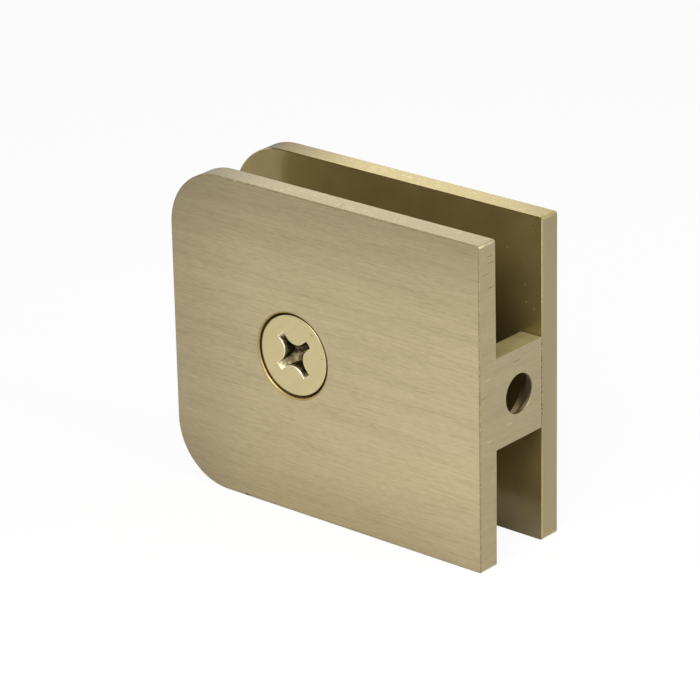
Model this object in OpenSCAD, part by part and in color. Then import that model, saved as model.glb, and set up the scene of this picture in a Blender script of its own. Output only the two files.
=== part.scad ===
// Wall-mount clamp for a fixed glass panel with a hole in the glass.
// Two plates stand either side of the glass. The front plate and the web that
// is screwed to the wall are one piece. The rear plate seats on the web's end
// and one countersunk screw draws the two together through the glass.
//
// Frame: origin at the centre of the wall screw's hole, on the wall face.
// +X points into the wall, -Y is the side that shows the clamp screw, +Z is up.
// All sizes are in millimetres.

/* [Plates] */
// Length of both plates, from the wall face to the rounded end
plate_length = 58; // [50:0.5:80]
// Height of both plates
plate_height = 50; // [40:0.5:70]
// Thickness of each plate
plate_thickness = 3.7; // [3.2:0.1:6]
// Radius of the two corners away from the wall
outer_corner_radius = 9.5; // [3:0.5:15]
// Radius of the two corners at the wall
wall_corner_radius = 0.4; // [0.4:0.1:2]
// Chamfer round the edge of each plate's outer face
edge_break = 0.2; // [0.1:0.05:0.35]

/* [Glass slot] */
// Gap between the plates, for the glass and its thin pads
glass_gap = 10.6; // [8:0.1:14]

/* [Web] */
// Thickness of the web, measured out from the wall
web_thickness = 3.6; // [3:0.1:6]
// Height of the web
web_height = 14; // [13.5:0.5:24]

/* [Wall screw hole] */
// Diameter of the hole for the wall screw
wall_hole_d = 6; // [4:0.1:6.6]
// Length of the hole's straight wall, before it opens into the countersink
wall_hole_land = 0.6; // [0.4:0.1:1.4]
// Space left between the countersink's widest part and the faces of the slot
wall_sink_margin = 0.1; // [0.1:0.1:1]
// Included angle of the wall screw's countersink
wall_sink_angle = 90; // [82:1:100]
// Small chamfer round the mouth of the wall screw's hole
wall_hole_break = 0.12; // [0.05:0.01:0.2]

/* [Clamp screw] */
// Distance of the screw's axis from the wall face
screw_from_wall = 34.8; // [22:0.2:44]
// Diameter of the screw's thread
screw_thread_d = 6; // [5:0.5:8]
// Diameter of the screw's head
screw_head_d = 12.4; // [11:0.1:14]
// Height of the straight rim of the head
screw_head_rim = 0.6; // [0.4:0.1:1]
// Depth of the head's top below the plate's face
screw_head_inset = 0.3; // [0.1:0.1:0.6]
// Distance from the screw's tip to the outer face of the rear plate
screw_tip_setback = 3.7; // [3.4:0.1:6]
// Chamfer at the screw's tip
screw_tip_break = 0.6; // [0.3:0.1:1]
// Fine break round the edge of the head
screw_edge_break = 0.1; // [0.05:0.01:0.2]
// Chamfer round the mouth of the head's seat in the front plate
seat_mouth_break = 0.3; // [0.1:0.05:0.35]

/* [Cross recess] */
// Span across two opposite wings, at the head's top
recess_span = 7.4; // [5:0.1:8]
// Width of each wing
recess_wing = 1.2; // [0.9:0.05:1.6]
// Distance from the centre to the rounded flank between two wings
recess_core = 1.75; // [1.4:0.05:2]
// Depth of the recess, at its point
recess_depth = 3.1; // [2.2:0.1:3.4]
// Width of the recess where its point begins
recess_floor_d = 2.4; // [1.6:0.1:3]
// Height of the cone at the recess's point
recess_point = 0.5; // [0.3:0.1:0.8]
// Turn of the cross about the screw's axis
recess_turn = 50; // [0:1:90]

/* [Rear plate boss] */
// Diameter of the threaded boss that passes through the hole in the glass
boss_d = 12; // [10:0.5:16]
// Space between the end of the boss and the front plate
boss_end_gap = 2; // [1.2:0.1:4]
// Chamfer round the end of the boss
boss_break = 0.5; // [0.2:0.1:1]
// Length of the threaded hole past the screw's tip
thread_run_out = 0.6; // [0.2:0.1:0.8]
// Included angle of the drilled hole's point
drill_point_angle = 118; // [110:1:140]

/* [Locating pins] */
// Diameter of each pin
pin_d = 1.5; // [1:0.1:1.8]
// Length of each pin that is pressed into the web
pin_in_web = 3; // [2:0.1:4]
// Length of each pin that stands in the rear plate
pin_in_plate = 2; // [1.2:0.1:2.4]
// Distance from each pin's axis to the web's edge
pin_from_edge = 1.8; // [1.6:0.1:2]
// Chamfer at each end of a pin
pin_break = 0.25; // [0.1:0.05:0.4]

/* [Fits] */
// Radial clearance between the screw's thread and the boss
thread_clearance = 0.05; // [0.02:0.01:0.1]
// Radial clearance between the head's cone and its seat
seat_clearance = 0.05; // [0.02:0.01:0.1]
// Radial gap round the head's straight rim
head_rim_gap = 0.35; // [0.2:0.05:0.6]
// Radial clearance of the plain hole under the countersink
shank_clearance = 0.2; // [0.1:0.05:0.4]
// Radial clearance between a pin and the rear plate
pin_clearance = 0.05; // [0.02:0.01:0.1]
// Space past each end of a pin, in its hole
pin_end_gap = 0.3; // [0.1:0.1:0.5]

/* [Hidden] */

$fn = 96;
overlap = 0.5;

half_gap = glass_gap / 2;
half_depth = half_gap + plate_thickness;
half_height = plate_height / 2;

wall_sink_r = half_gap - wall_sink_margin;
wall_sink_depth = (wall_sink_r - wall_hole_d / 2) / tan(wall_sink_angle / 2);

screw_r = screw_thread_d / 2;
head_r = screw_head_d / 2;
head_cone = head_r - screw_r;
screw_length = 2 * half_depth - screw_head_inset - screw_tip_setback;
seat_r = head_r + head_rim_gap;
seat_cone_start = screw_head_inset + screw_head_rim + seat_clearance - head_rim_gap;
shank_hole_r = screw_r + shank_clearance;
seat_cone_end = seat_cone_start + seat_r - shank_hole_r;

boss_length = glass_gap - boss_end_gap;
thread_hole_r = screw_r + thread_clearance;
thread_hole_end = half_depth - screw_tip_setback + thread_run_out;
drill_point = thread_hole_r / tan(drill_point_angle / 2);

pin_z = web_height / 2 - pin_from_edge;

brass = [0.72, 0.66, 0.50];
brass_screw = [0.79, 0.73, 0.53];
steel = [0.62, 0.62, 0.60];

// ---- placing ----

// Turns a form drawn in XY, with its height along Z, so that XY becomes XZ and
// the height points to the front, along -Y.
module facing_front() {
    rotate([90, 0, 0]) children();
}

// A form revolved about the clamp screw's axis. Its profile is drawn with the
// radius along X and the depth behind the front face along Y.
module on_screw_axis() {
    translate([-screw_from_wall, -half_depth, 0])
        rotate([-90, 0, 0])
            rotate_extrude() children();
}

// ---- plates ----

// Outline of a plate: X as in the frame, Y for the height
module plate_outline() {
    difference() {
        translate([-plate_length, -half_height]) square([plate_length, plate_height]);
        for (side = [-1, 1]) {
            outline_corner(-plate_length, side, outer_corner_radius) waste_of_corner(outer_corner_radius);
            outline_corner(0, side, wall_corner_radius) waste_of_corner(wall_corner_radius);
        }
    }
}

// Puts a corner form at one corner of the outline, turned so that it points
// outwards, with its own origin at the centre of that corner's radius
module outline_corner(x, side, radius) {
    inward = x < 0 ? 1 : -1;
    translate([x + inward * radius, side * (half_height - radius)])
        mirror([x < 0 ? 1 : 0, 0])
            mirror([0, side < 0 ? 1 : 0])
                children();
}

module waste_of_corner(radius) {
    difference() {
        square(radius + overlap);
        circle(radius);
    }
}

module break_section() {
    rotate(45) square(edge_break * sqrt(2), center = true);
}

module straight_break(length) {
    translate([0, 0, -overlap / 10])
        linear_extrude(length + overlap / 5) break_section();
}

// The chamfer round the whole outline, as the material it takes away
module outline_break() {
    long_run = plate_length - outer_corner_radius - wall_corner_radius;
    for (side = [-1, 1]) {
        translate([-wall_corner_radius, side * half_height, 0])
            rotate([0, -90, 0]) straight_break(long_run);
        outline_corner(-plate_length, side, outer_corner_radius) corner_break(outer_corner_radius);
        outline_corner(0, side, wall_corner_radius) corner_break(wall_corner_radius);
    }
    end_break(-plate_length, outer_corner_radius);
    end_break(0, wall_corner_radius);
}

module end_break(x, radius) {
    translate([x, half_height - radius, 0])
        rotate([90, 0, 0]) straight_break(plate_height - 2 * radius);
}

module corner_break(radius) {
    rotate_extrude(angle = 90) translate([radius, 0]) break_section();
}

// A plate with its inner face on the slot's front face
module plate_blank() {
    translate([0, -half_gap, 0])
        facing_front()
            difference() {
                linear_extrude(plate_thickness) plate_outline();
                translate([0, 0, plate_thickness]) outline_break();
            }
}

// ---- front body ----

module web() {
    translate([-web_thickness, -half_gap - overlap, -web_height / 2])
        cube([web_thickness, glass_gap + overlap, web_height]);
}

// Countersunk hole for the wall screw, opened from the slot
module wall_screw_hole() {
    hole_r = wall_hole_d / 2;
    sink_end = wall_hole_land + wall_sink_depth;
    rotate([0, -90, 0])
        rotate_extrude()
            polygon([
                [0, -overlap],
                [hole_r + wall_hole_break + overlap, -overlap],
                [hole_r, wall_hole_break],
                [hole_r, wall_hole_land],
                [wall_sink_r, sink_end],
                [wall_sink_r, max(sink_end, web_thickness) + overlap],
                [0, max(sink_end, web_thickness) + overlap]
            ]);
}

// Seat of the clamp screw's head, with the plain hole under it
module clamp_screw_seat() {
    on_screw_axis()
        polygon([
            [0, -overlap],
            [seat_r + seat_mouth_break + overlap, -overlap],
            [seat_r, seat_mouth_break],
            [seat_r, seat_cone_start],
            [shank_hole_r, seat_cone_end],
            [shank_hole_r, max(seat_cone_end, plate_thickness) + overlap],
            [0, max(seat_cone_end, plate_thickness) + overlap]
        ]);
}

module front_body() {
    color(brass)
        difference() {
            union() {
                plate_blank();
                web();
            }
            clamp_screw_seat();
            wall_screw_hole();
            for (side = [-1, 1]) pin_hole(side, 0, pin_in_web + pin_end_gap, 0);
        }
}

// ---- locating pins ----

// Place of a pin: its axis runs along Y, with the joint between the web and the
// rear plate at zero
module at_pin(side) {
    translate([-web_thickness / 2, half_gap, side * pin_z])
        rotate([-90, 0, 0]) children();
}

// Hole for a pin, from a depth inside the web to a depth inside the rear plate
module pin_hole(side, plate_depth, web_depth, clearance) {
    at_pin(side)
        translate([0, 0, -web_depth])
            cylinder(r = pin_d / 2 + clearance, h = web_depth + plate_depth);
}

module locating_pin(side) {
    color(steel)
        at_pin(side)
            rotate_extrude()
                polygon([
                    [0, -pin_in_web],
                    [pin_d / 2 - pin_break, -pin_in_web],
                    [pin_d / 2, pin_break - pin_in_web],
                    [pin_d / 2, pin_in_plate - pin_break],
                    [pin_d / 2 - pin_break, pin_in_plate],
                    [0, pin_in_plate]
                ]);
}

// ---- rear plate ----

// The boss, from inside the rear plate to its chamfered end
module boss() {
    boss_r = boss_d / 2;
    translate([-screw_from_wall, half_gap, 0])
        facing_front()
            rotate_extrude()
                polygon([
                    [0, -overlap],
                    [boss_r, -overlap],
                    [boss_r, boss_length - boss_break],
                    [boss_r - boss_break, boss_length],
                    [0, boss_length]
                ]);
}

// Blind threaded hole, with its thread drawn as a plain wall
module thread_hole() {
    translate([-screw_from_wall, 0, 0])
        rotate([-90, 0, 0])
            rotate_extrude()
                polygon([
                    [0, half_gap - boss_length - overlap],
                    [thread_hole_r, half_gap - boss_length - overlap],
                    [thread_hole_r, thread_hole_end],
                    [0, thread_hole_end + drill_point]
                ]);
}

module rear_plate() {
    color(brass)
        difference() {
            union() {
                mirror([0, 1, 0]) plate_blank();
                boss();
            }
            thread_hole();
            for (side = [-1, 1]) pin_hole(side, pin_in_plate + pin_end_gap, overlap, pin_clearance);
        }
}

// ---- clamp screw ----

// Outline of the cross recess: two crossed slots with a rounded flank in each
// of the four corners between them
module recess_outline() {
    half_wing = recess_wing / 2;
    flank = (recess_core - half_wing) / (sqrt(2) - 1);
    square([recess_span, recess_wing], center = true);
    square([recess_wing, recess_span], center = true);
    difference() {
        square(2 * flank, center = true);
        for (x = [-flank, flank], y = [-flank, flank])
            translate([x, y]) circle(flank - half_wing);
    }
}

// The recess: the cross, narrowed with depth by a cone to a point
module cross_recess() {
    cone_depth = recess_depth - recess_point;
    top_r = recess_span / 2;
    floor_r = recess_floor_d / 2;
    slope = (top_r - floor_r) / cone_depth;
    translate([-screw_from_wall, screw_head_inset - half_depth, 0])
        rotate([-90, recess_turn, 0])
            intersection() {
                translate([0, 0, -overlap]) linear_extrude(recess_depth + 2 * overlap) recess_outline();
                rotate_extrude()
                    polygon([
                        [0, -overlap],
                        [top_r + slope * overlap, -overlap],
                        [floor_r, cone_depth],
                        [0, recess_depth]
                    ]);
            }
}

module clamp_screw() {
    top = screw_head_inset;
    cone_start = top + screw_head_rim;
    tip = top + screw_length;
    color(brass_screw)
        difference() {
            on_screw_axis()
                polygon([
                    [0, top],
                    [head_r - screw_edge_break, top],
                    [head_r, top + screw_edge_break],
                    [head_r, cone_start],
                    [screw_r, cone_start + head_cone],
                    [screw_r, tip - screw_tip_break],
                    [screw_r - screw_tip_break, tip],
                    [0, tip]
                ]);
            cross_recess();
        }
}

front_body();
rear_plate();
clamp_screw();
locating_pin(1);  // locating_pin_upper
locating_pin(-1);  // locating_pin_lower
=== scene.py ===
"""The looks of a wall-mount glass clamp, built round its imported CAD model."""

import math

import bmesh
import bpy
from mathutils import Matrix, Vector


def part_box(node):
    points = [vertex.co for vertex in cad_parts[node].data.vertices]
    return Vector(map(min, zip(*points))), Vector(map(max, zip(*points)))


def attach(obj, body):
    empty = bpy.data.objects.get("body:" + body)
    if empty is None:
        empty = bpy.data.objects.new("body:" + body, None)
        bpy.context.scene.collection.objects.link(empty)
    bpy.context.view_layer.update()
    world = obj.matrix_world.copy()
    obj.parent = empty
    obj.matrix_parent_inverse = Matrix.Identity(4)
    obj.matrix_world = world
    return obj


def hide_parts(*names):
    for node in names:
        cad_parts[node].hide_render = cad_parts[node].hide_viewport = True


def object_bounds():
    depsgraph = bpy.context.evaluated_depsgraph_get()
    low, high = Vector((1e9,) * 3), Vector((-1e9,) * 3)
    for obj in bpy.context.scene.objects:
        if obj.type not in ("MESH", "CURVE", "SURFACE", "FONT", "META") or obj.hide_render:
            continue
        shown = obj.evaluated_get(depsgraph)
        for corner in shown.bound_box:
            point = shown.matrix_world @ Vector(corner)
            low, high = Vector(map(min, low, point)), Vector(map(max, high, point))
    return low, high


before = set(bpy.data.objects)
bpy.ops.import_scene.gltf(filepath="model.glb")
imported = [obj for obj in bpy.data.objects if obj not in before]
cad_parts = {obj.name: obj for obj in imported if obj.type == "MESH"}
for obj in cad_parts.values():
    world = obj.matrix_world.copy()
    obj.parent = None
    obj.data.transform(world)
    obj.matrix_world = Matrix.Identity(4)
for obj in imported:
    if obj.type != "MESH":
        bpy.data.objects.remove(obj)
cad_low, cad_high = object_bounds()
MM = 0.001

# ---------------------------------------------------------------- front body
# The front plate and the web that is screwed to the wall, milled from one piece of brass.
# The clamp screw's seat and the wall screw's hole are bored through it. Its outer faces
# are brushed on a belt and lacquered, and its rounded edges are only sanded.

front_low, front_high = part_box("front_body")
rear_low, rear_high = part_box("rear_plate")
screw_low, screw_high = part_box("clamp_screw")
screw_x = (screw_low.x + screw_high.x) / 2
half_gap = front_high.y
front_face = front_low.y
wall_face = front_high.x
far_end = front_low.x
half_height = front_high.z
outer_radius = 9.5 * MM
wall_radius = 0.4 * MM
face_break = 0.2 * MM
slot_break = 0.12 * MM
web_thickness = 3.6 * MM
web_height = 14 * MM
FINE = 1e-6
FACING = 0.9


def start(piece_name):
    """Names the primitive just added and opens it for editing with all of it selected."""
    piece = bpy.context.object
    piece.name = piece_name
    bpy.ops.object.transform_apply(location=True, rotation=True, scale=True)
    bpy.ops.object.mode_set(mode="EDIT")
    bpy.ops.mesh.select_all(action="SELECT")
    return piece


def add_block(piece_name, low, high):
    """Adds a block from one corner to the opposite one and opens it for editing."""
    low, high = Vector(low), Vector(high)
    bpy.ops.object.select_all(action="DESELECT")
    bpy.ops.mesh.primitive_cube_add(size=1, location=(low + high) / 2)
    bpy.context.object.scale = high - low
    return start(piece_name)


def pick(kind, rule):
    """Selects the faces, edges or verts of the piece being edited that meet a rule."""
    mode = {"faces": "FACE", "edges": "EDGE", "verts": "VERT"}[kind]
    bpy.ops.mesh.select_mode(type=mode)
    bpy.ops.mesh.select_all(action="DESELECT")
    mesh = bmesh.from_edit_mesh(bpy.context.object.data)
    for part in getattr(mesh, kind):
        if rule(part):
            part.select_set(True)
    mesh.select_flush_mode()
    bmesh.update_edit_mesh(bpy.context.object.data)


def ends(edge):
    return edge.verts[0].co, edge.verts[1].co


def middle_of(edge):
    return (edge.verts[0].co + edge.verts[1].co) / 2


def at(value, place):
    return abs(value - place) < FINE


def along_depth(edge):
    """Whether an edge runs straight from the front of the clamp to its rear."""
    one, two = ends(edge)
    return at(one.x, two.x) and at(one.z, two.z)


def add_plate(piece_name, one_y, other_y):
    """Adds a plate with its two large and two small corners, open for editing."""
    low = (far_end, min(one_y, other_y), -half_height)
    high = (wall_face, max(one_y, other_y), half_height)
    plate = add_block(piece_name, low, high)
    for x, radius, segments in ((far_end, outer_radius, 32), (wall_face, wall_radius, 5)):
        pick("edges", lambda e: along_depth(e) and at(e.verts[0].co.x, x))
        bpy.ops.mesh.bevel(offset=radius, offset_type="OFFSET", segments=segments, affect="EDGES")
    return plate


def cut_across(point, normal):
    """Scores a line round the piece being edited, where a plane crosses it."""
    bpy.ops.mesh.select_mode(type="FACE")
    bpy.ops.mesh.select_all(action="SELECT")
    bpy.ops.mesh.bisect(plane_co=point, plane_no=normal)


def close(piece):
    """Ends the editing of a piece, with its faces turned outwards."""
    bpy.ops.mesh.select_mode(type="FACE")
    bpy.ops.mesh.select_all(action="SELECT")
    bpy.ops.mesh.normals_make_consistent(inside=False)
    bpy.ops.object.mode_set(mode="OBJECT")
    piece.select_set(False)
    return piece


def turned(piece_name, centre, heading, outline, sides=128):
    """A form turned on a lathe. The outline gives radius and distance along the heading."""
    centre, heading = Vector(centre), Vector(heading)
    radius, run = outline[0]
    bpy.ops.object.select_all(action="DESELECT")
    bpy.ops.mesh.primitive_circle_add(
        vertices=sides,
        radius=radius,
        fill_type="NGON",
        location=centre + heading * run,
        rotation=heading.to_track_quat("Z", "Y").to_euler(),
    )
    form = start(piece_name)
    for next_radius, next_run in outline[1:]:
        step = heading * (next_run - run)
        bpy.ops.mesh.extrude_region_move(TRANSFORM_OT_translate={"value": step})
        middle = centre + heading * next_run
        if next_radius == 0:
            bpy.ops.mesh.merge(type="CENTER")
        else:
            share = next_radius / radius
            bpy.ops.transform.resize(value=(share, share, share), center_override=middle)
        radius, run = next_radius, next_run
    return close(form)


def combine(piece, form, how="DIFFERENCE"):
    """Cuts, joins or trims a piece with another form, which is used up."""
    bpy.context.view_layer.objects.active = piece
    step = piece.modifiers.new("combine", "BOOLEAN")
    step.operation = how
    step.solver = "EXACT"
    step.object = form
    bpy.ops.object.modifier_apply(modifier=step.name)
    bpy.data.objects.remove(form)


body = add_plate("clamp_body", front_face, -half_gap)
cut_across((0, 0, web_height / 2), (0, 0, 1))
cut_across((0, 0, -web_height / 2), (0, 0, 1))
cut_across((wall_face - web_thickness, 0, 0), (1, 0, 0))


def is_web_foot(face):
    """Whether a face of the front plate is the one that the web rises from."""
    middle = face.calc_center_median()
    inside = middle.x > wall_face - web_thickness and abs(middle.z) < web_height / 2
    return face.normal.y > FACING and inside


pick("faces", is_web_foot)
bpy.ops.mesh.extrude_region_move(TRANSFORM_OT_translate={"value": (0, 2 * half_gap, 0)})
bpy.ops.mesh.select_all(action="SELECT")
flush = math.radians(0.5)
bpy.ops.mesh.dissolve_limited(angle_limit=flush)
close(body)

seat_radius = 6.55 * MM
seat_wall = 0.6 * MM
shank_hole_radius = 3.2 * MM
seat_cone_end = seat_wall + seat_radius - shank_hole_radius
past = 0.5 * MM
seat_outline = [
    (seat_radius, -past),
    (seat_radius, seat_wall),
    (shank_hole_radius, seat_cone_end),
    (shank_hole_radius, seat_cone_end + past),
]
seat_mouth = (screw_x, front_face, 0)
combine(body, turned("seat_cutter", seat_mouth, (0, 1, 0), seat_outline))

wall_hole_radius = 3 * MM
wall_hole_land = 0.6 * MM
sink_radius = 5.2 * MM
sink_end = wall_hole_land + sink_radius - wall_hole_radius
hole_outline = [
    (wall_hole_radius, -past),
    (wall_hole_radius, wall_hole_land),
    (sink_radius, sink_end),
    (sink_radius, web_thickness + past),
]
combine(body, turned("hole_cutter", (wall_face, 0, 0), (-1, 0, 0), hole_outline, sides=96))

pin_radius = 0.75 * MM
pin_in_web = 3 * MM
pin_end_gap = 0.3 * MM
pin_x = wall_face - web_thickness / 2
pin_z = web_height / 2 - 1.8 * MM
for pin_side in (1, -1):
    pin_outline = [(pin_radius, -past), (pin_radius, pin_in_web + pin_end_gap)]
    pin_mouth = (pin_x, half_gap, pin_side * pin_z)
    combine(body, turned("pin_cutter", pin_mouth, (0, -1, 0), pin_outline, sides=32))

bpy.context.view_layer.objects.active = body
bpy.ops.object.mode_set(mode="EDIT")
widest_break = 0.3 * MM
web_end_break = 0.14 * MM
X, Y = 0, 1


def on_rim(edge, centre, axis, radius, slack=0.02 * MM):
    """Whether an edge lies on a circle round a centre, square to an axis."""
    for point in ends(edge):
        offset = point - Vector(centre)
        if abs(offset[axis]) > FINE or abs(offset.length - radius) > slack:
            return False
    return True


def on_pin_rim(edge, radius):
    """Whether an edge is the mouth of one of the holes for the pins."""
    return any(on_rim(edge, (pin_x, half_gap, side * pin_z), Y, radius) for side in (1, -1))


def on_seat_rim(edge):
    return on_rim(edge, seat_mouth, Y, seat_radius)


def on_wall_hole_rim(edge):
    return on_rim(edge, (wall_face, 0, 0), X, wall_hole_radius)


def on_level(edge, axis, level):
    return all(at(point[axis], level) for point in ends(edge))


def near_web(edge):
    """Whether an edge of the front plate is at the foot of the web."""
    middle = middle_of(edge)
    return middle.x > wall_face - web_thickness - FINE and abs(middle.z) < web_height / 2 + FINE


def is_sharp(edge, angle=math.radians(25)):
    return len(edge.link_faces) == 2 and edge.calc_face_angle(0) > angle


def break_edges(rule, width):
    """Marks the sharp edges that meet a rule to be broken to a width."""
    pick("edges", lambda e: is_sharp(e) and rule(e))
    bpy.ops.transform.edge_bevelweight(value=width / widest_break)


break_edges(lambda e: on_level(e, Y, front_face) and not on_seat_rim(e), face_break)
break_edges(lambda e: on_level(e, Y, -half_gap) and not near_web(e), slot_break)
break_edges(on_seat_rim, widest_break)
break_edges(lambda e: on_level(e, Y, half_gap) and not on_pin_rim(e, pin_radius), web_end_break)
break_edges(on_wall_hole_rim, slot_break)
bpy.ops.object.mode_set(mode="OBJECT")


def finish_edges(piece, finish=-1, clamped=True):
    """Rounds the marked edges, in one of the piece's finishes if given, and evens the shading."""
    bpy.context.view_layer.objects.active = piece
    rounding = piece.modifiers.new("edges", "BEVEL")
    rounding.use_clamp_overlap = clamped
    rounding.limit_method = "WEIGHT"
    rounding.width = widest_break
    rounding.segments = 3
    rounding.miter_outer = "MITER_ARC"
    rounding.material = finish
    bpy.ops.object.modifier_apply(modifier=rounding.name)
    bpy.ops.object.select_all(action="DESELECT")
    piece.select_set(True)
    bpy.ops.object.shade_smooth_by_angle(angle=math.radians(40))
    level = piece.modifiers.new("level", "WEIGHTED_NORMAL")
    level.weight = 100
    level.keep_sharp = True
    bpy.ops.object.modifier_apply(modifier=level.name)
    piece.select_set(False)


def new_group(name, takes, gives):
    """An empty shader group with named inputs and outputs, and the nodes that hold them."""
    group = bpy.data.node_groups.new(name, "ShaderNodeTree")
    for label, kind in takes:
        group.interface.new_socket(label, in_out="INPUT", socket_type="NodeSocket" + kind)
    for label, kind in gives:
        group.interface.new_socket(label, in_out="OUTPUT", socket_type="NodeSocket" + kind)
    taken = group.nodes.new("NodeGroupInput").outputs
    given = group.nodes.new("NodeGroupOutput").inputs
    return group, taken, given


def put(tree, kind, inputs=None, **settings):
    """Adds a shader node with its settings. An input is a value, or the socket that feeds it."""
    made = tree.nodes.new("ShaderNode" + kind)
    for name, value in settings.items():
        setattr(made, name, value)
    for name, value in (inputs or {}).items():
        if isinstance(value, bpy.types.NodeSocket):
            tree.links.new(value, made.inputs[name])
        else:
            made.inputs[name].default_value = value
    return made


def put_group(tree, group, inputs):
    """Places a shared effect in a material and gives its outputs."""
    return put(tree, "Group", inputs, node_tree=group).outputs


def sums(tree, operation, one, other):
    """Works out a value from two others, each a number or a socket."""
    return put(tree, "Math", {0: one, 1: other}, operation=operation).outputs[0]


def ramp(tree, value, low, high, start=0.0, end=1.0, **settings):
    """Goes from start to end as a value goes from low to high, and no further."""
    inputs = {"Value": value, "From Min": low, "From Max": high, "To Min": start, "To Max": end}
    return put(tree, "MapRange", inputs, **settings).outputs[0]


def noise(tree, vector, scale, detail=2.0):
    """Cloudy noise. The scale is in features to the unit of the vector."""
    return put(tree, "TexNoise", {"Vector": vector, "Scale": scale, "Detail": detail}).outputs[0]


def stretched_noise(tree, vector, along, across, detail=2.0, offset=0.0):
    """Noise drawn out along X. Along and across are the sizes of its features."""
    scaled = put(tree, "Mapping", {"Vector": vector, "Scale": (1 / along, 1 / across, 1 / across)})
    scaled.inputs["Location"].default_value = (offset, offset, offset)
    return noise(tree, scaled.outputs[0], 1.0, detail)


# The marks of a belt that ran along X: fine scratches, shorter deeper ones and soft bands.
grain, taken, given = new_group(
    "belt_grain",
    [("Vector", "Vector"), ("Scratches", "Float"), ("Bands", "Float")],
    [("Tone", "Float"), ("Height", "Float")],
)
place = taken["Vector"]
long_marks = stretched_noise(grain, place, along=9 * MM, across=0.26 * MM, detail=3.0)
short_marks = stretched_noise(grain, place, along=1.6 * MM, across=0.22 * MM, offset=3.7)
bands = stretched_noise(grain, place, along=45 * MM, across=2.6 * MM, offset=8.1)
lines = stretched_noise(grain, place, along=7 * MM, across=0.15 * MM, detail=0.0, offset=5.3)
dashes = stretched_noise(grain, place, along=1.2 * MM, across=0.13 * MM, detail=0.0, offset=6.9)
# Only the strongest parts of the noise are cuts, lines and dashes.
cuts = ramp(grain, long_marks, 0.56, 0.72, end=0.16)
lines = ramp(grain, lines, 0.6, 0.78, end=0.1)
dashes = ramp(grain, dashes, 0.66, 0.8, end=0.12)
long_share, short_share = 0.55, 0.45
mean_mark, mean_band = 0.49, 0.5
long_marks = sums(grain, "MULTIPLY", long_marks, long_share)
marks = sums(grain, "ADD", long_marks, sums(grain, "MULTIPLY", short_marks, short_share))
marks = sums(grain, "SUBTRACT", marks, cuts)
marks = sums(grain, "ADD", marks, lines)
marks = sums(grain, "SUBTRACT", marks, dashes)
grain.links.new(marks, given["Height"])
fine_tone = sums(grain, "MULTIPLY", sums(grain, "SUBTRACT", marks, mean_mark), taken["Scratches"])
band_tone = sums(grain, "MULTIPLY", sums(grain, "SUBTRACT", bands, mean_band), taken["Bands"])
tone = sums(grain, "ADD", sums(grain, "ADD", fine_tone, band_tone), 0.5)
grain.links.new(tone, given["Tone"])

# The grit of a sanded edge: small facets that differ in tone, a few of them bright.
grit, taken, given = new_group(
    "sanded_grit",
    [("Vector", "Vector"), ("Size", "Float"), ("Sparkle", "Float")],
    [("Tone", "Float"), ("Height", "Float")],
)
sized = put(grit, "VectorMath", {0: taken["Vector"], "Scale": 1 / MM}, operation="SCALE").outputs[0]
spread = sums(grit, "DIVIDE", 1.0, taken["Size"])
fine_grit = noise(grit, sized, spread, 3.0)
facets = put(grit, "TexVoronoi", {"Vector": sized, "Scale": sums(grit, "MULTIPLY", spread, 0.8)})
facet_tone = put(grit, "SeparateColor", {"Color": facets.outputs["Color"]}).outputs[0]
bright = ramp(grit, facet_tone, 0.86, 1.0)
grit.links.new(fine_grit, given["Height"])
tone = sums(grit, "ADD", fine_grit, sums(grit, "MULTIPLY", bright, taken["Sparkle"]))
grit.links.new(tone, given["Tone"])

# A small mark on a surface: 1 at its centre, down to 0 at a soft and ragged edge. A
# narrowing below 1 on an axis draws it out along that axis.
mark, taken, given = new_group(
    "small_mark",
    [("Vector", "Vector"), ("Centre", "Vector"), ("Narrowing", "Vector"), ("Radius", "Float")],
    [("Mask", "Float")],
)
aside = put(mark, "VectorMath", {0: taken["Vector"], 1: taken["Centre"]}, operation="SUBTRACT").outputs[0]
aside = put(mark, "VectorMath", {0: aside, 1: taken["Narrowing"]}, operation="MULTIPLY").outputs[0]
far = put(mark, "VectorMath", {0: aside}, operation="LENGTH").outputs["Value"]
ragged = noise(mark, taken["Vector"], 5000.0)
outer = sums(mark, "MULTIPLY", taken["Radius"], sums(mark, "ADD", ragged, 0.5))
inner = sums(mark, "MULTIPLY", outer, 0.4)
mark.links.new(ramp(mark, far, outer, inner), given["Mask"])


def new_metal(name, roughness):
    """A metal's material: its node tree, its shader and the piece's own coordinates."""
    material = bpy.data.materials.new(name)
    material.use_nodes = True
    tree = material.node_tree
    shader = tree.nodes["Principled BSDF"]
    shader.inputs["Metallic"].default_value = 1
    shader.inputs["Roughness"].default_value = roughness
    place = put(tree, "TexCoord").outputs["Object"]
    return material, tree, shader, place


def mixed(tree, share, one, other):
    """Mixes two colours, each a colour or a socket, in the share of the second."""
    return put(tree, "MixRGB", {"Fac": share, "Color1": one, "Color2": other}).outputs[0]


def shade(tree, tone, dark, light, low=0.0, high=1.0):
    """A colour that goes from dark to light as the tone goes from low to high."""
    return mixed(tree, ramp(tree, tone, low, high), (*dark, 1), (*light, 1))


def add_bump(tree, shader, height, depth):
    """Raises the surface by a height between 0 and 1 times a depth."""
    bump = put(tree, "Bump", {"Height": height, "Distance": depth})
    tree.links.new(bump.outputs[0], shader.inputs["Normal"])


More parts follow.
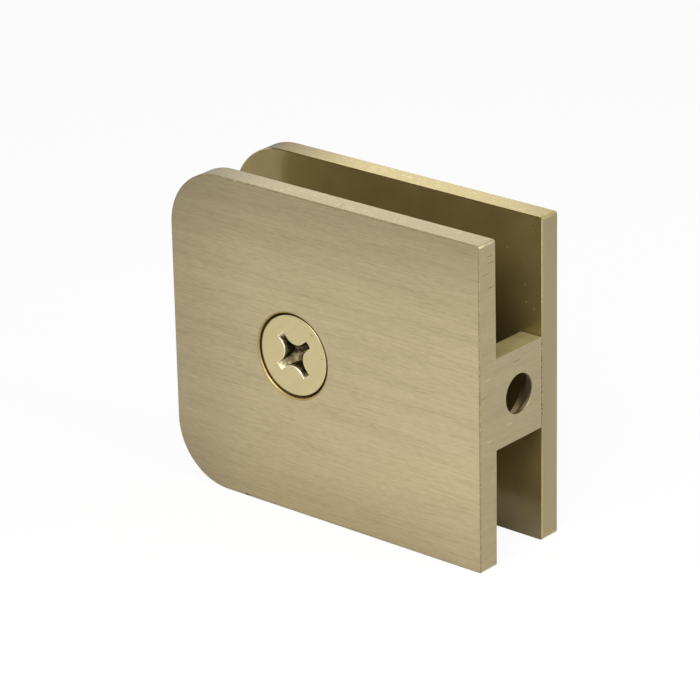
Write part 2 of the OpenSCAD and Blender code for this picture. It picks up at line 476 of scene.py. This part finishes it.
# Painted shade: a tone that falls towards the rounded end of a plate and towards its long
# edges, standing in for the lamps' light falling off there. It is 1 in the middle of the plate.
falloff_shade, taken, given = new_group(
    "painted_falloff_shade",
    [("Vector", "Vector"), ("Reach", "Float"), ("End Tone", "Float"), ("Edge Tone", "Float")],
    [("Factor", "Float")],
)
where = put(falloff_shade, "SeparateXYZ", {"Vector": taken["Vector"]}).outputs
from_end = sums(falloff_shade, "DIVIDE", sums(falloff_shade, "SUBTRACT", where["X"], far_end), taken["Reach"])
smooth = {"interpolation_type": "SMOOTHSTEP"}
end_share = ramp(falloff_shade, from_end, 0.0, 1.0, taken["End Tone"], **smooth)
height = sums(falloff_shade, "ABSOLUTE", where["Z"], 0.0)
inner_height = half_height - 14 * MM
edge_share = ramp(falloff_shade, height, half_height, inner_height, taken["Edge Tone"], **smooth)
falloff_shade.links.new(sums(falloff_shade, "MULTIPLY", end_share, edge_share), given["Factor"])


def toned(tree, colour, factor):
    """A colour made darker where the factor is below 1."""
    return put(tree, "VectorMath", {0: colour, "Scale": factor}, operation="SCALE").outputs[0]


def brushed(name, turn, dark, light, scratches, end_shade=1.0, edge_shade=1.0):
    """Brass brushed on a belt. The turn brings the way of the belt onto X."""
    material, tree, shader, place = new_metal(name, roughness=0.36)
    turned_place = put(tree, "Mapping", {"Vector": place, "Rotation": turn}).outputs[0]
    marks = put_group(tree, grain, {"Vector": turned_place, "Scratches": scratches, "Bands": 0.5})
    tones = {"Vector": place, "Reach": 18 * MM, "End Tone": end_shade, "Edge Tone": edge_shade}
    # Painted shade towards the plate's rounded end and long edges.
    painted_shade = put_group(tree, falloff_shade, tones)
    colour = toned(tree, shade(tree, marks["Tone"], dark, light), painted_shade["Factor"])
    tree.links.new(colour, shader.inputs["Base Color"])
    add_bump(tree, shader, marks["Height"], 0.004 * MM)
    return material


def sanded(name, dark, light, corner_shade, reach, sparkle, roughness, glance=(1, 1, 1)):
    """The sanded rim of a plate, with painted shade towards its rounded end. Glance tints it seen
    edge-on.
    """
    material, tree, shader, place = new_metal(name, roughness)
    drawn_out = put(tree, "Mapping", {"Vector": place, "Scale": (0.4, 1, 1)}).outputs[0]
    grains = put_group(tree, grit, {"Vector": drawn_out, "Size": 0.2, "Sparkle": sparkle})
    tones = {"Vector": place, "Reach": reach, "End Tone": corner_shade, "Edge Tone": 1.0}
    # Painted shade towards the rounded end, where the rim's highlight falls off.
    corner = put_group(tree, falloff_shade, tones)
    colour = toned(tree, shade(tree, grains["Tone"], dark, light, 0.2, 0.9), corner["Factor"])
    tree.links.new(colour, shader.inputs["Base Color"])
    add_bump(tree, shader, grains["Height"], 0.01 * MM)
    shader.inputs["Specular Tint"].default_value = (*glance, 1)
    return material


def milled(name, dark, light, roughness, lacquer=0.0, metal=1.0, foot_shade=1.0):
    """A surface as the cutter left it, lacquered or not, with painted shade at its foot or none."""
    material, tree, shader, place = new_metal(name, roughness)
    cloud = noise(tree, place, 180.0, 3.0)
    height = put(tree, "SeparateXYZ", {"Vector": place}).outputs["Z"]
    # Painted shade: darker towards the foot, standing in for the shade low in the slot.
    foot = ramp(tree, height, -half_height, -half_height / 2, foot_shade)
    colour = toned(tree, shade(tree, cloud, dark, light, 0.3, 0.7), foot)
    tree.links.new(colour, shader.inputs["Base Color"])
    add_bump(tree, shader, noise(tree, place, 900.0), 0.002 * MM)
    shader.inputs["Metallic"].default_value = metal
    shader.inputs["Coat Weight"].default_value = lacquer
    shader.inputs["Coat Roughness"].default_value = 0.06
    return material


def broken_edge(name, dark, light, roughness, low=0.25, high=0.85):
    """A narrow broken edge, where the finish is thin and the brass shows yellower."""
    material, tree, shader, place = new_metal(name, roughness)
    nicks = put_group(tree, grit, {"Vector": place, "Size": 0.22, "Sparkle": 0.2})
    tree.links.new(shade(tree, nicks["Tone"], dark, light, low, high), shader.inputs["Base Color"])
    add_bump(tree, shader, nicks["Height"], 0.008 * MM)
    return material


def mark_at(material, radius, colour, *centres, narrowing=(1, 1, 1)):
    """Lays small marks over the colour of a finish. Radius and centres are in millimetres."""
    tree = material.node_tree
    shader = tree.nodes["Principled BSDF"]
    place = put(tree, "TexCoord").outputs["Object"]
    for centre in centres:
        under = shader.inputs["Base Color"].links[0].from_socket
        spot = {"Vector": place, "Centre": Vector(centre) * MM, "Radius": radius * MM}
        mask = put_group(tree, mark, spot | {"Narrowing": narrowing})["Mask"]
        tree.links.new(mixed(tree, mask, under, (*colour, 1)), shader.inputs["Base Color"])


FACE, END, RIM, SLOT, EDGE, STEP, SEAT, LIP, SEAM, HOLE = range(10)
face_tones = (0.395, 0.326, 0.193), (0.628, 0.52, 0.322)
end_tones = (0.28, 0.23, 0.135), (0.44, 0.366, 0.225)
rim_tones = (0.36, 0.3, 0.178), (0.56, 0.475, 0.295)
inner_tones = (0.26, 0.195, 0.072), (0.315, 0.24, 0.092)
edge_tones = (0.19, 0.155, 0.085), (0.4, 0.335, 0.19)
web_tones = (0.42, 0.35, 0.16), (0.68, 0.58, 0.3)
# Painted shade: the seat is nearly black, for the deep gap round the screw head.
seat_shade_tones = (0.1, 0.075, 0.04), (0.17, 0.13, 0.07)
lip_tones = (0.33, 0.245, 0.09), (0.47, 0.36, 0.15)
seam_tones = (0.03, 0.022, 0.012), (0.7, 0.59, 0.36)
# The bored hole's tones are darkened as painted shade inside the hole.
hole_shade_tones = (0.27, 0.21, 0.115), (0.38, 0.305, 0.175)
along, down = (0, 0, 0), (0, 0, -math.pi / 2)
# The brushed faces and the rim take painted shade towards the rounded end and long edges.
body_finishes = [
    brushed("body_brushed_face", along, *face_tones, scratches=1.6, end_shade=0.83, edge_shade=0.77),
    brushed("body_brushed_end", down, *end_tones, scratches=1.2),
    sanded("body_sanded_rim", *rim_tones, corner_shade=0.5, reach=22 * MM, sparkle=0.35, roughness=0.42),
    milled("body_milled_slot", *inner_tones, roughness=0.24, lacquer=0.4, metal=0.62),
    broken_edge("body_broken_edge", *edge_tones, roughness=0.6),
    milled("body_milled_web", *web_tones, roughness=0.45, metal=0.5),
    milled("body_bored_seat_shaded", *seat_shade_tones, roughness=0.5),
    broken_edge("body_seat_lip", *lip_tones, roughness=0.45),
    broken_edge("body_web_seam", *seam_tones, roughness=0.4, low=0.5, high=0.66),
    milled("body_bored_hole_shaded", *hole_shade_tones, roughness=0.42),
]

# The dent low on the front plate, the nicks and specks on its upper rim, and the short
# scratches over the end, each at its place in millimetres.
soot, dull, faint = (0.03, 0.022, 0.01), (0.13, 0.1, 0.055), (0.2, 0.16, 0.09)
pale, bare = (0.56, 0.48, 0.31), (0.95, 0.84, 0.6)
dents = (-44.2, -9, -24.9), (-44.6, -9, -24.8)
for number in (FACE, RIM, EDGE):
    mark_at(body_finishes[number], 0.28, soot, *dents)
rim_nicks = (-36.9, -8.1, 25), (-24.8, -7.7, 25), (-24.2, -7.8, 25), (-23.6, -7.8, 25)
rim_specks = (-25.9, -7.3, 25), (-25.9, -7.7, 25), (-25.8, -8.1, 25)
mark_at(body_finishes[RIM], 0.16, bare, *rim_nicks)
mark_at(body_finishes[RIM], 0.14, soot, *rim_specks)
across = (1, 0.09, 1)
upper_scratches = (0, -6.6, 22.9), (0, -6.2, 21.9), (0, -7.4, 20.4), (0, -6.4, 18.2)
middle_scratches = (0, -8.3, 1.9), (0, -0.6, 5.2)
pale_scratches = (0, -7.2, 4.4), (0, -2.2, -3.9), (0, -6.9, -5.1)
mark_at(body_finishes[END], 0.1, faint, *upper_scratches, *middle_scratches, narrowing=across)
mark_at(body_finishes[END], 0.08, pale, *pale_scratches, narrowing=across)


def from_axis(point, x):
    """How far a point is from the line through a place that runs along Y."""
    return math.hypot(point.x - x, point.z)


def finish_of(face, outer_y):
    """Which finish a face has, from the way it faces and where it is."""
    normal, middle = face.normal, face.calc_center_median()
    if abs(normal.y) > FACING and at(middle.y, outer_y):
        return FACE
    if normal.x > FACING and at(middle.x, wall_face):
        return END
    if abs(normal.z) > FACING and at(abs(middle.z), web_height / 2):
        return STEP
    if from_axis(middle, screw_x) < seat_radius + FINE and middle.y < -half_gap - FINE:
        return SEAT
    in_web = middle.x > wall_face - web_thickness - FINE
    if in_web and math.hypot(middle.y, middle.z) < sink_radius + FINE:
        return HOLE
    outline = abs(middle.z) > half_height - outer_radius or middle.x < far_end + FINE
    outside = normal.dot(Vector((middle.x - (far_end + wall_face) / 2, 0, middle.z))) > 0
    if abs(normal.y) < 1 - FACING and outline and outside:
        return RIM
    return SLOT


def assign(piece, number, rule):
    """Gives one of the piece's finishes to the faces that meet a rule."""
    pick("faces", rule)
    piece.active_material_index = number
    bpy.ops.object.material_slot_assign()


def give_finishes(piece, finishes, outer_y):
    """Puts the finishes in the piece's slots and gives each face its own."""
    bpy.context.view_layer.objects.active = piece
    for material in finishes:
        piece.data.materials.append(material)
    bpy.ops.object.mode_set(mode="EDIT")
    for number in range(len(finishes)):
        assign(piece, number, lambda f: finish_of(f, outer_y) == number)
    bpy.ops.object.mode_set(mode="OBJECT")


def is_seat_lip(face):
    """Whether a face of a broken edge is at the mouth of the screw's seat."""
    middle = face.calc_center_median()
    near_mouth = from_axis(middle, screw_x) < seat_radius + widest_break
    at_front = middle.y < front_face + widest_break and abs(face.normal.y) < 0.98
    return face.material_index == EDGE and near_mouth and at_front


def is_web_seam(face):
    """Whether a face of a broken edge is at the seam between the web and the rear plate."""
    return face.material_index == EDGE and face.calc_center_median().y > half_gap - widest_break


give_finishes(body, body_finishes, front_face)
finish_edges(body, EDGE)
bpy.ops.object.mode_set(mode="EDIT")
assign(body, LIP, is_seat_lip)
assign(body, SEAM, is_web_seam)
bpy.ops.object.mode_set(mode="OBJECT")
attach(body, "front_body")
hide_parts("front_body")

# ---------------------------------------------------------------- rear plate
# The loose plate behind the glass, brushed like the front one. A threaded brass boss on
# its inner side reaches through the hole in the glass and takes the clamp screw. Two
# blind holes at the wall end go over the pins in the web.

back_face = rear_high.y
plate = add_plate("clamp_plate", half_gap, back_face)
close(plate)

boss_radius = 6 * MM
boss_end = rear_low.y
boss_break = 0.5 * MM
boss_length = half_gap - boss_end
boss_outline = [
    (boss_radius, -past),
    (boss_radius, boss_length - boss_break),
    (boss_radius - boss_break, boss_length),
]
boss_root = (screw_x, half_gap, 0)
combine(plate, turned("boss", boss_root, (0, -1, 0), boss_outline), "UNION")

pitch = 1 * MM
thread_crest = 2.97 * MM
thread_root = 2.38 * MM
thread_play = 0.06 * MM
thread_steps = 64


def first_turn(start_y, shift):
    """Where a rod starts, a turn or more ahead, so that screw and boss are in step."""
    return math.floor(start_y / pitch - 1) * pitch - shift


def put_in_place(piece, place):
    """Moves a piece that lies at the origin, and keeps the place in its mesh."""
    piece.select_set(True)
    piece.matrix_world = place
    bpy.ops.object.transform_apply(location=True, rotation=True, scale=True)
    piece.select_set(False)


def threaded_rod(piece_name, start_y, end_y, extra):
    """A rod with the clamp screw's thread, longer than its span by a turn at each end."""
    turns = math.ceil((end_y - start_y) / pitch) + 3
    crest_flat = pitch / 8 + extra
    root_flat = pitch / 4 - extra
    flank = (pitch - crest_flat - root_flat) / 2
    root, crest = thread_root + extra, thread_crest + extra
    tooth = [(root, 0), (root, root_flat), (crest, root_flat + flank)]
    tooth += [(crest, root_flat + flank + crest_flat), (root, pitch)]
    bpy.ops.object.select_all(action="DESELECT")
    bpy.ops.mesh.primitive_circle_add(vertices=3, radius=MM)
    rod = start(piece_name)
    bpy.ops.mesh.delete(type="VERT")
    profile = bmesh.from_edit_mesh(rod.data)
    points = [profile.verts.new((radius, 0, height)) for radius, height in tooth]
    for one, two in zip(points, points[1:]):
        profile.edges.new((one, two))
    bmesh.update_edit_mesh(rod.data)
    bpy.ops.object.mode_set(mode="OBJECT")
    winding = rod.modifiers.new("winding", "SCREW")
    winding.axis = "Z"
    winding.screw_offset = pitch
    winding.iterations = turns
    winding.steps = winding.render_steps = thread_steps
    winding.use_merge_vertices = True
    winding.merge_threshold = FINE
    bpy.ops.object.modifier_apply(modifier=winding.name)
    bpy.ops.object.mode_set(mode="EDIT")
    bpy.ops.mesh.select_all(action="SELECT")
    bpy.ops.mesh.remove_doubles(threshold=FINE)
    within = 1.01 * pitch
    for level in (0, turns * pitch):
        pick("edges", lambda e: e.is_boundary and abs(middle_of(e).z - level) < within)
        bpy.ops.mesh.extrude_edges_move(TRANSFORM_OT_translate={"value": (0, 0, 0)})
        bpy.ops.mesh.merge(type="CENTER")
    close(rod)
    foot = Matrix.Translation((screw_x, first_turn(start_y, root_flat / 2), 0))
    put_in_place(rod, foot @ Matrix.Rotation(-math.pi / 2, 4, "X"))
    return rod


pin_in_plate = 2 * MM
pin_play = 0.05 * MM
for pin_side in (1, -1):
    pin_outline = [(pin_radius + pin_play, -past), (pin_radius + pin_play, pin_in_plate + pin_end_gap)]
    pin_mouth = (pin_x, half_gap, pin_side * pin_z)
    combine(plate, turned("pin_cutter", pin_mouth, (0, 1, 0), pin_outline, sides=32))

tip_y = screw_high.y
thread_end = tip_y + 0.6 * MM
tapped = thread_end - boss_end
boss_mouth = (screw_x, boss_end, 0)
drill_radius = thread_root + thread_play / 2
drill_point = drill_radius / math.tan(math.radians(59))
hole = threaded_rod("hole_thread", boss_end, thread_end, thread_play)
bore_outline = [(drill_radius + MM, -past), (drill_radius + MM, tapped)]
combine(hole, turned("thread_span", boss_mouth, (0, 1, 0), bore_outline, sides=72), "INTERSECT")
combine(plate, hole)
mouth_break = 0.7 * MM
mouth_outline = [
    (drill_radius + mouth_break + past, -past),
    (drill_radius, mouth_break),
    (drill_radius, tapped + 0.01 * MM),
    (0, tapped + drill_point),
]
combine(plate, turned("tap_mouth", boss_mouth, (0, 1, 0), mouth_outline, sides=72))


def is_left_sharp(edge):
    """Whether an edge is the foot of the boss or the mouth of a hole for a pin."""
    return on_rim(edge, boss_root, Y, boss_radius) or on_pin_rim(edge, pin_radius + pin_play)


bpy.context.view_layer.objects.active = plate
bpy.ops.object.mode_set(mode="EDIT")
break_edges(lambda e: on_level(e, Y, back_face), face_break)
break_edges(lambda e: on_level(e, Y, half_gap) and not is_left_sharp(e), slot_break)
bpy.ops.object.mode_set(mode="OBJECT")

plate_end_tones = (0.27, 0.22, 0.122), (0.385, 0.315, 0.175)
plate_rim_tones = (0.345, 0.288, 0.14), (0.575, 0.482, 0.243)
plate_edge_tones = (0.38, 0.31, 0.155), (0.66, 0.55, 0.3)
dark_edge_tones = (0.05, 0.028, 0.006), (0.2, 0.125, 0.035)
upright = (0, math.pi / 2, 0)
# The brushed face and the rim take painted shade towards the rounded end, and the slot at its foot.
plate_finishes = [
    brushed("plate_brushed_face", along, *face_tones, scratches=1.6, end_shade=0.83, edge_shade=0.77),
    brushed("plate_brushed_end", upright, *plate_end_tones, scratches=0.8),
    sanded(
        "plate_sanded_rim",
        *plate_rim_tones,
        corner_shade=0.12,
        reach=28 * MM,
        sparkle=0.42,
        roughness=0.24,
        glance=(0.91, 0.85, 0.77),
    ),
    milled("plate_milled_slot", *inner_tones, roughness=0.24, lacquer=0.4, metal=0.62, foot_shade=0.55),
    broken_edge("plate_broken_edge", *plate_edge_tones, roughness=0.42),
    broken_edge("plate_dark_edge", *dark_edge_tones, roughness=0.5),
]
DARK_EDGE = EDGE + 1

# The specks on the plate's inner face near the wall, and the seam against the web, which
# is dulled with painted shade and has an uneven row of dark dots, a few of them pale.
bare_specks = (-6.2, 5.3, 19.2), (-3, 5.3, 14.2), (-2.8, 5.3, 11.6), (-1.4, 5.3, 10.9)
dull_specks = (-1.5, 5.3, 23.5), (-1.2, 5.3, 23), (-0.8, 5.3, 22.4), (-2.6, 5.3, 18.5)
mark_at(plate_finishes[SLOT], 0.11, bare, *bare_specks)
mark_at(plate_finishes[SLOT], 0.14, dull, *dull_specks)
# Painted shade: the plate's edge is dulled along the web, which shades it.
seam_shade, seam_reach, seam_middle = (0.29, 0.235, 0.135), 14, (0, 5.3, 0)
mark_at(plate_finishes[EDGE], seam_reach, seam_shade, seam_middle)
seam_dots = []
top_dot, dot_pitch, unevenness = 5.9, 0.92, 0.3
for count in range(13):
    dot_height = top_dot - dot_pitch * count + unevenness * math.sin(2.3 * count)
    seam_dots.append((-0.05, 5.36, dot_height))
mark_at(plate_finishes[EDGE], 0.15, soot, *seam_dots)
mark_at(plate_finishes[EDGE], 0.13, pale, *seam_dots[1::4])


def is_dark_edge(face):
    """Whether a face of a broken edge is at the top or bottom of the slot, coloured dark brown."""
    middle = face.calc_center_median()
    beside_slot = middle.y < half_gap + widest_break and abs(middle.z) > half_height - widest_break
    return face.material_index == EDGE and beside_slot


give_finishes(plate, plate_finishes, back_face)
finish_edges(plate, EDGE)
bpy.ops.object.mode_set(mode="EDIT")
assign(plate, DARK_EDGE, is_dark_edge)
bpy.ops.object.mode_set(mode="OBJECT")
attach(plate, "rear_plate")
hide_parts("rear_plate")

# ---------------------------------------------------------------- locating pins
# Two ground steel dowels, pressed into the end of the web. Their chamfered free ends
# stand in the rear plate and keep it from turning on the screw.

steel_tones = (0.42, 0.42, 0.41), (0.66, 0.66, 0.64)
steel, tree, shader, place = new_metal("ground_steel", roughness=0.3)
marks = put_group(tree, grain, {"Vector": place, "Scratches": 1.0, "Bands": 0.3})
tree.links.new(shade(tree, marks["Tone"], *steel_tones), shader.inputs["Base Color"])
pin_chamfer = 0.25 * MM
for pin_node, pin_side in (("locating_pin_upper", 1), ("locating_pin_lower", -1)):
    pin_outline = [
        (pin_radius - pin_chamfer, -pin_in_web),
        (pin_radius, pin_chamfer - pin_in_web),
        (pin_radius, pin_in_plate - pin_chamfer),
        (pin_radius - pin_chamfer, pin_in_plate),
    ]
    pin_name = pin_node.replace("locating_", "")
    pin_mouth = (pin_x, half_gap, pin_side * pin_z)
    pin = turned(pin_name, pin_mouth, (0, 1, 0), pin_outline, sides=32)
    pin.data.materials.append(steel)
    finish_edges(pin)
    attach(pin, "front_body")
    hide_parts(pin_node)

# ---------------------------------------------------------------- clamp screw
# A countersunk M6 screw with a cross recess, turned and rolled from brass, with its head
# finished smoother and yellower than the plates. It draws the rear plate to the web.

head_radius = 6.2 * MM
head_rim = 0.6 * MM
head_top = screw_low.y
head_break = 0.1 * MM
neck_radius = 3 * MM
head_end = head_rim + head_radius - neck_radius
screw_length = tip_y - head_top
tip_break = 0.6 * MM
head_outline = []
for corner in (0, 30, 60, 90):
    inwards = head_break * (1 - math.sin(math.radians(corner)))
    downwards = head_break * (1 - math.cos(math.radians(corner)))
    head_outline.append((head_radius - inwards, downwards))
neck_length = 0.5 * MM
head_outline += [
    (head_radius, head_rim),
    (neck_radius, head_end),
    (neck_radius, head_end + neck_length),
    (thread_root, head_end + 2 * neck_length),
]
head_middle = Vector((screw_x, head_top, 0))
screw = threaded_rod("clamp_screw_turned", head_top + head_end, tip_y, 0)
span_outline = [
    (neck_radius + past, head_end + 0.8 * neck_length),
    (neck_radius + past, screw_length - tip_break - past),
    (neck_radius - tip_break, screw_length),
]
combine(screw, turned("thread_span", head_middle, (0, 1, 0), span_outline, sides=72), "INTERSECT")
head = turned("head", head_middle, (0, 1, 0), head_outline)

recess_span = 7.4 * MM
recess_wing = 1.2 * MM
recess_core = 1.75 * MM
recess_depth = 3.1 * MM
recess_floor = 1.2 * MM
recess_point = 0.5 * MM
recess_turn = math.radians(50)
flank_run = (recess_core - recess_wing / 2) / (math.sqrt(2) - 1) - recess_wing / 2
half_wing = recess_wing / 2
cross_low = (-half_wing, -half_wing, -past)
cross_high = (half_wing, half_wing, recess_depth + past)
cross = add_block("recess_cross", cross_low, cross_high)
arm = (recess_span - recess_wing) / 2
for way in (Vector((1, 0, 0)), Vector((-1, 0, 0)), Vector((0, 1, 0)), Vector((0, -1, 0))):
    pick("faces", lambda f: (f.calc_center_median().xy - way.xy * half_wing).length < FINE)
    bpy.ops.mesh.extrude_region_move(TRANSFORM_OT_translate={"value": way * arm})


def is_between_wings(edge):
    """Whether an edge of the cross is in one of the corners where two wings meet."""
    one, two = ends(edge)
    along_axis = at(one.x, two.x) and at(one.y, two.y)
    return along_axis and at(abs(one.x), half_wing) and at(abs(one.y), half_wing)


# The corners between the wings are rounded, so that they lie recess_core from the axis.
pick("edges", is_between_wings)
bpy.ops.mesh.bevel(offset=flank_run, offset_type="OFFSET", segments=12, affect="EDGES")
pick("verts", lambda v: v.co.z > recess_depth)
taper = 0.86
bpy.ops.transform.resize(value=(taper, taper, 1), center_override=(0, 0, 0))
close(cross)
cross_turn = Matrix.Rotation(recess_turn, 4, "Y") @ Matrix.Rotation(-math.pi / 2, 4, "X")
put_in_place(cross, Matrix.Translation(head_middle) @ cross_turn)
slope = (recess_span / 2 - recess_floor) / (recess_depth - recess_point)
cone_outline = [
    (recess_span / 2 + slope * past, -past),
    (recess_floor, recess_depth - recess_point),
    (0, recess_depth),
]
combine(cross, turned("recess_cone", head_middle, (0, 1, 0), cone_outline, sides=64), "INTERSECT")
combine(head, cross)
combine(screw, head, "UNION")


def is_worn_wing(edge):
    """Whether an edge of the recess is on the side of two wings that the driver wore."""
    away = middle_of(edge) - head_middle
    side = away.x * math.sin(recess_turn) + away.z * math.cos(recess_turn)
    beside_wing = -1.3 * half_wing < side < -0.8 * half_wing
    return on_level(edge, Y, head_top) and beside_wing and away.length > clear_of_core


# The cuts leave some points closer together than the breaks need, so these are merged. A
# line inset round the head keeps the breaks of the recess clear of the head's rim.
rim_inset = 0.3 * MM
recess_break = 0.1 * MM
worn_break = 0.2 * MM
clear_of_core = 1.6 * MM
bpy.context.view_layer.objects.active = screw
bpy.ops.object.mode_set(mode="EDIT")
bpy.ops.mesh.select_all(action="SELECT")
bpy.ops.mesh.remove_doubles(threshold=2 * FINE)
pick("verts", lambda v: at(v.co.y, head_top))
bpy.ops.mesh.remove_doubles(threshold=20 * FINE)
pick("faces", lambda f: at(f.calc_center_median().y, head_top))
bpy.ops.mesh.inset(thickness=rim_inset)
break_edges(lambda e: on_level(e, Y, head_top), recess_break)
break_edges(is_worn_wing, worn_break)
bpy.ops.object.mode_set(mode="OBJECT")

head_tones = (0.53, 0.445, 0.233), (0.72, 0.614, 0.35)
polish_turn = 0.7
screw_metal, tree, shader, place = new_metal("screw_satin_head", roughness=0.34)
polish_way = put(tree, "Mapping", {"Vector": place, "Rotation": (0, polish_turn, 0)}).outputs[0]
marks = put_group(tree, grain, {"Vector": polish_way, "Scratches": 0.6, "Bands": 0.3})
tree.links.new(shade(tree, marks["Tone"], *head_tones), shader.inputs["Base Color"])
add_bump(tree, shader, marks["Height"], 0.002 * MM)
# Two dark nicks near the head's rim, each with a smaller one beside it.
head_nicks = (-31.2, -8.7, 4), (-29.4, -8.7, 0.8)
smaller_nicks = (-31.5, -8.7, 4.2), (-29.5, -8.7, 1.2)
mark_at(screw_metal, 0.14, soot, *head_nicks)
mark_at(screw_metal, 0.1, soot, *smaller_nicks)

# The recess is mottled with grime, and darker deeper in as painted shade.
mouth_tones = (0.3, 0.24, 0.13), (0.75, 0.64, 0.4)
floor_shade_tones = (0.03, 0.023, 0.01), (0.15, 0.118, 0.055)
shade_depth = 0.9 * MM
recess_metal, tree, shader, place = new_metal("screw_punched_recess", roughness=0.4)
grime = noise(tree, place, 1600.0, 3.0)
mouth_tone = shade(tree, grime, *mouth_tones, 0.4, 0.65)
floor_shade = shade(tree, grime, *floor_shade_tones, 0.4, 0.65)
depth = put(tree, "SeparateXYZ", {"Vector": place}).outputs["Y"]
deep_shade = ramp(tree, depth, head_top, head_top + shade_depth)
tree.links.new(mixed(tree, deep_shade, mouth_tone, floor_shade), shader.inputs["Base Color"])
add_bump(tree, shader, grime, 0.1 * MM)
shader.inputs["Metallic"].default_value = 0.85

# Painted highlight: the screw's broken edges are near white brass, half diffuse, so that they glint.
lit_tones = (0.6, 0.52, 0.33), (0.95, 0.86, 0.62)
recess_glint = broken_edge("screw_edge_painted_glint", *lit_tones, roughness=0.3)
recess_glint.node_tree.nodes["Principled BSDF"].inputs["Metallic"].default_value = 0.5

shank_tones = (0.3, 0.235, 0.11), (0.42, 0.335, 0.165)
shank_metal = milled("screw_rolled_shank", *shank_tones, roughness=0.42)
HEAD, RECESS, LIT, SHANK = range(4)
screw_finishes = [screw_metal, recess_metal, recess_glint, shank_metal]


def screw_finish(face):
    """Which finish a face of the screw has, before its edges are broken."""
    middle = face.calc_center_median()
    out, depth = from_axis(middle, screw_x), middle.y - head_top
    if abs(depth) < FINE or (out > head_radius - head_break and depth < head_rim):
        return HEAD
    return RECESS if out < recess_span / 2 + FINE and depth < recess_depth + FINE else SHANK


bpy.context.view_layer.objects.active = screw
for material in screw_finishes:
    screw.data.materials.append(material)
bpy.ops.object.mode_set(mode="EDIT")
for number in (HEAD, RECESS, SHANK):
    assign(screw, number, lambda f: screw_finish(f) == number)
bpy.ops.object.mode_set(mode="OBJECT")
finish_edges(screw, LIT, clamped=False)
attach(screw, "clamp_screw")
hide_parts("clamp_screw")

# ---------------------------------------------------------------- the studio
# A sheet of white paper that the clamp stands on, in a white room, with soft lamps round it.
# The paper looks almost white, with a trace of the clamp's shadow, and the metal mirrors it
# mostly as it is lit.

floor_gap = 0.02 * MM
bpy.ops.mesh.primitive_plane_add(size=4, location=(0, 0, cad_low.z - floor_gap))
floor = bpy.context.object
floor.name = "floor"
paper = bpy.data.materials.new("white_paper")
paper.use_nodes = True
tree = paper.node_tree
paper_shader = tree.nodes["Principled BSDF"]
paper_shader.inputs["Base Color"].default_value = (0.88, 0.88, 0.88, 1)
paper_shader.inputs["Roughness"].default_value = 0.9
paper_shader.inputs["Specular IOR Level"].default_value = 0
white_to_camera = 0.93
white_in_metal = 0.15
ray = put(tree, "LightPath").outputs
seen = sums(tree, "MULTIPLY", ray["Is Camera Ray"], white_to_camera)
bounced = sums(tree, "MAXIMUM", ray["Is Glossy Ray"], ray["Is Transmission Ray"])
mirrored = sums(tree, "MULTIPLY", bounced, white_in_metal)
white = put(tree, "Emission", {"Color": (1, 1, 1, 1), "Strength": 1}).outputs[0]
whiteness = sums(tree, "MAXIMUM", seen, mirrored)
shown = put(tree, "MixShader", {0: whiteness, 1: paper_shader.outputs[0], 2: white}).outputs[0]
tree.links.new(shown, tree.nodes["Material Output"].inputs["Surface"])
floor.data.materials.append(paper)

room_light = 0.3
world = bpy.data.worlds.new("white_room")
bpy.context.scene.world = world
world.use_nodes = True
tree = world.node_tree
ray = put(tree, "LightPath").outputs
bounced = sums(tree, "MAXIMUM", ray["Is Glossy Ray"], ray["Is Transmission Ray"])
seen = sums(tree, "MAXIMUM", ray["Is Camera Ray"], bounced)
strength = ramp(tree, seen, 0.0, 1.0, room_light, 1.0)
tree.links.new(strength, tree.nodes["Background"].inputs["Strength"])
tree.nodes["Background"].inputs["Color"].default_value = (1, 1, 1, 1)

# Each lamp stands at an azimuth and elevation in degrees, at a reach from the clamp's
# middle, with a size in metres and a power in watts.
middle = (cad_low + cad_high) / 2
for name, azimuth, elevation, reach, size, watts in (
    ("front_lamp", 292, 43, 0.35, 0.2, 1.0),
    ("right_lamp", 5, 20, 0.35, 0.2, 0.9),
    ("back_lamp", 129, 27, 0.2, 0.06, 0.008),
):
    softbox = bpy.data.lights.new(name, "AREA")
    softbox.size = size
    softbox.energy = watts
    lamp = bpy.data.objects.new(name, softbox)
    bpy.context.collection.objects.link(lamp)
    heading = Matrix.Rotation(math.radians(azimuth), 4, "Z")
    heading @= Matrix.Rotation(math.radians(-elevation), 4, "Y")
    lamp.location = middle + (heading @ Vector((reach, 0, 0)))
    lamp.rotation_euler = (middle - lamp.location).to_track_quat("-Z", "Y").to_euler()
    lamp.visible_camera = False

lens = bpy.data.cameras.new("camera")
camera = bpy.data.objects.new("camera", lens)
bpy.context.collection.objects.link(camera)
lens.sensor_width = 36
lens.lens = 199.94
lens.clip_start = 0.01
camera_azimuth = math.radians(40.422)
camera_elevation = math.radians(22.288)
camera_roll = math.radians(-1.192)
aim = Vector((-16.04, -18.04, 8.586)) * MM
camera_reach = 545.8 * MM
turn = Matrix.Rotation(camera_azimuth, 4, "Z")
turn @= Matrix.Rotation(math.pi / 2 - camera_elevation, 4, "X")
turn @= Matrix.Rotation(camera_roll, 4, "Z")
camera.matrix_world = Matrix.Translation(aim) @ turn @ Matrix.Translation((0, 0, camera_reach))
bpy.context.scene.camera = camera
bpy.context.scene.view_settings.view_transform = "Standard"
